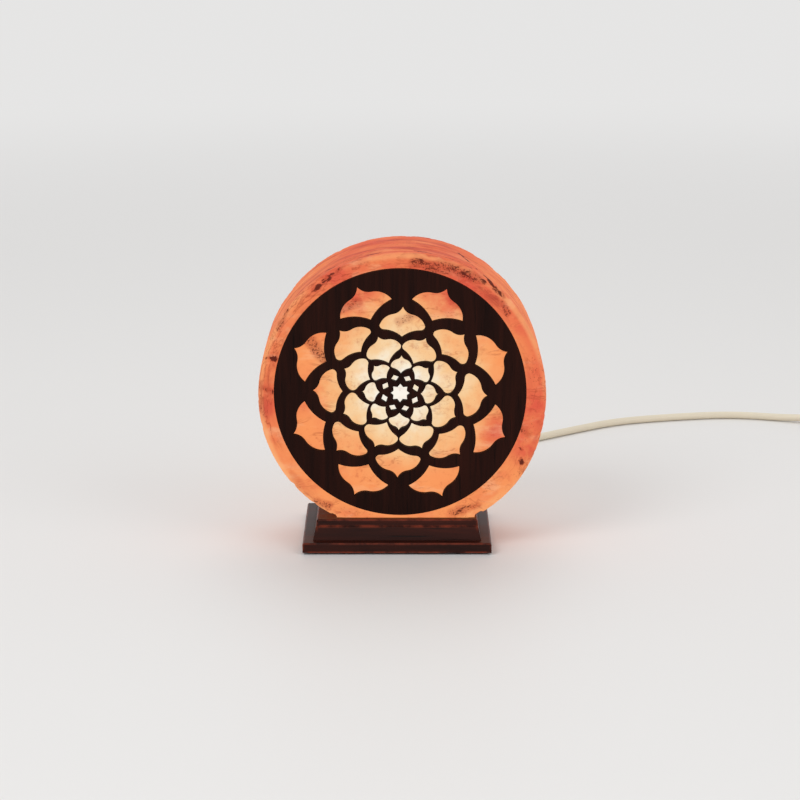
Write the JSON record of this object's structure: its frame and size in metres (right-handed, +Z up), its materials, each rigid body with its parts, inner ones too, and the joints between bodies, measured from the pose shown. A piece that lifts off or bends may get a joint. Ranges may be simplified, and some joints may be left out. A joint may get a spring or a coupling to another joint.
{
  "type": "salt crystal lamp",
  "caption": "Table lamp: an upright disc of pink rock salt on a stepped dark wood base, with a round lotus fretwork panel on its front, lit from inside.",
  "frame": {"origin": "on the table under the middle of the salt disc, mains lead left out", "axes": "+Z up, +X to the right of someone facing the panel, +Y to the back; the panel faces -Y"},
  "size_m": [0.5795, 0.3925, 0.2115],
  "materials": {
    "salt": "sawn rock salt, lit from inside",
    "panel_wood": "thin stained board",
    "base_wood": "stained and lacquered",
    "pad_rubber": "matte",
    "fixing_steel": "zinc plated",
    "plug_nylon": "wall plug nylon",
    "holder_black": "moulded",
    "contact_brass": "bright",
    "spring_steel": "sprung",
    "clamp_plastic": "moulded",
    "lead_cores": "insulated wires",
    "bulb_glass": "clear",
    "bulb_metal": "thin pressed cap",
    "bulb_vitrite": "black glass",
    "filament": "glowing wire",
    "lead_sheath": "cream sheath",
    "switch_cream": "moulded",
    "rocker_cream": "moulded",
    "pin_nickel": "nickel plated",
    "sleeve_black": "insulating sleeve"
  },
  "bodies": {
    "lamp": {"salt_block": "salt", "fretwork_panel": "panel_wood", "base_slab": "base_wood", "base_riser": "base_wood", "base_top_plate": "base_wood", "feet": "pad_rubber", "salt_screws": "fixing_steel", "clamp_screws": "fixing_steel", "terminal_screws": "fixing_steel", "switch_screws": "fixing_steel", "switch_pin": "fixing_steel", "salt_plugs": "plug_nylon", "holder_cap": "holder_black", "holder_body": "holder_black", "holder_insulator": "holder_black", "holder_boot": "holder_black", "screw_shell": "contact_brass", "centre_contact": "contact_brass", "switch_contacts": "contact_brass", "spring_clips": "spring_steel", "cord_clamp": "clamp_plastic", "cord_leads": "lead_cores", "bulb_glass": "bulb_glass", "bulb_stem": "bulb_glass", "bulb_cap": "bulb_metal", "bulb_tip": "bulb_metal", "bulb_insulator": "bulb_vitrite", "bulb_filament": "filament", "cord_to_switch": "lead_sheath", "cord_from_switch": "lead_sheath", "cord_coil": "lead_sheath", "cord_to_plug": "lead_sheath", "switch_lower_shell": "switch_cream", "switch_upper_shell": "switch_cream", "plug_body": "switch_cream", "plug_boot": "switch_cream", "plug_pins": "pin_nickel", "plug_sleeves": "sleeve_black"},
    "rocker": {"switch_rocker": "rocker_cream", "switch_bridge": "contact_brass"}
  },
  "joints": [
    {"name": "switch_rock", "type": "hinge", "parent": "lamp", "child": "rocker", "pos_m": [0.3996, 0.2978, 0.0126], "axis": [0.3907, 0.9205, 0], "range_deg": [-16, 0]}
  ]
}
